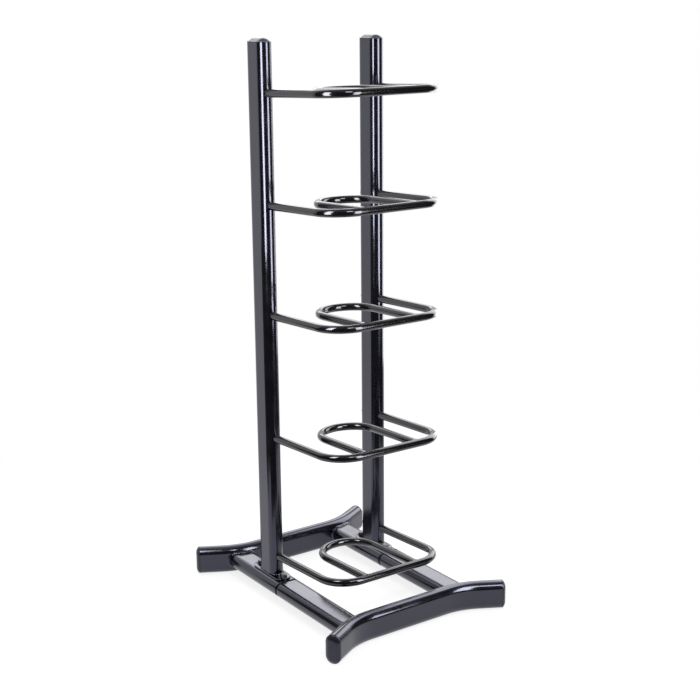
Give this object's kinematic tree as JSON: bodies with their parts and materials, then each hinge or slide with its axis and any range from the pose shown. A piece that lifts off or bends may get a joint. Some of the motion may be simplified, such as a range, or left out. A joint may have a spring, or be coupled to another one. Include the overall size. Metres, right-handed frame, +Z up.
{
  "type": "medicine ball rack",
  "caption": "Free-standing tiered rack for medicine balls: flat-oval uprights on bowed feet, with open bar shelves that each hold a ball ring.",
  "frame": {"origin": "on the floor, under the middle of the base's bounding box", "axes": "+Z up, -Y the front where the shelves reach out, +X towards the right-hand upright seen from the front"},
  "size_m": [0.554, 0.6898, 1.443],
  "materials": {
    "frame_metal": "gloss black powder coat",
    "shelf_metal": "gloss black powder coat",
    "joiner_metal": "satin black",
    "cap_plastic": "moulded black plastic",
    "fastener_metal": "black zinc plated",
    "insert_metal": "plain zinc plated"
  },
  "bodies": {
    "root": {"left_upright": "frame_metal", "right_upright": "frame_metal", "left_top_cap": "cap_plastic", "right_top_cap": "cap_plastic", "left_base_plate": "frame_metal", "right_base_plate": "frame_metal", "upright_welds": "frame_metal", "rear_foot": "frame_metal", "front_foot": "frame_metal", "rear_foot_left_cap": "cap_plastic", "rear_foot_right_cap": "cap_plastic", "front_foot_left_cap": "cap_plastic", "front_foot_right_cap": "cap_plastic", "left_rail_stub": "frame_metal", "right_rail_stub": "frame_metal", "left_front_rail": "frame_metal", "right_front_rail": "frame_metal", "left_rail_joiner": "joiner_metal", "right_rail_joiner": "joiner_metal", "rear_foot_welds": "frame_metal", "front_foot_welds": "frame_metal", "base_plate_bolts": "fastener_metal", "base_plate_washers": "fastener_metal", "base_plate_nuts": "fastener_metal", "rail_joint_bolts": "fastener_metal", "rail_joint_washers": "fastener_metal", "rail_joint_nuts": "fastener_metal", "shelf_1_loop": "shelf_metal", "shelf_2_loop": "shelf_metal", "shelf_3_loop": "shelf_metal", "shelf_4_loop": "shelf_metal", "shelf_5_loop": "shelf_metal", "shelf_1_ball_ring": "shelf_metal", "shelf_2_ball_ring": "shelf_metal", "shelf_3_ball_ring": "shelf_metal", "shelf_4_ball_ring": "shelf_metal", "shelf_5_ball_ring": "shelf_metal", "ball_ring_welds": "shelf_metal", "shelf_inserts": "insert_metal", "shelf_bolts": "fastener_metal", "shelf_washers": "fastener_metal"}
  },
  "joints": []
}
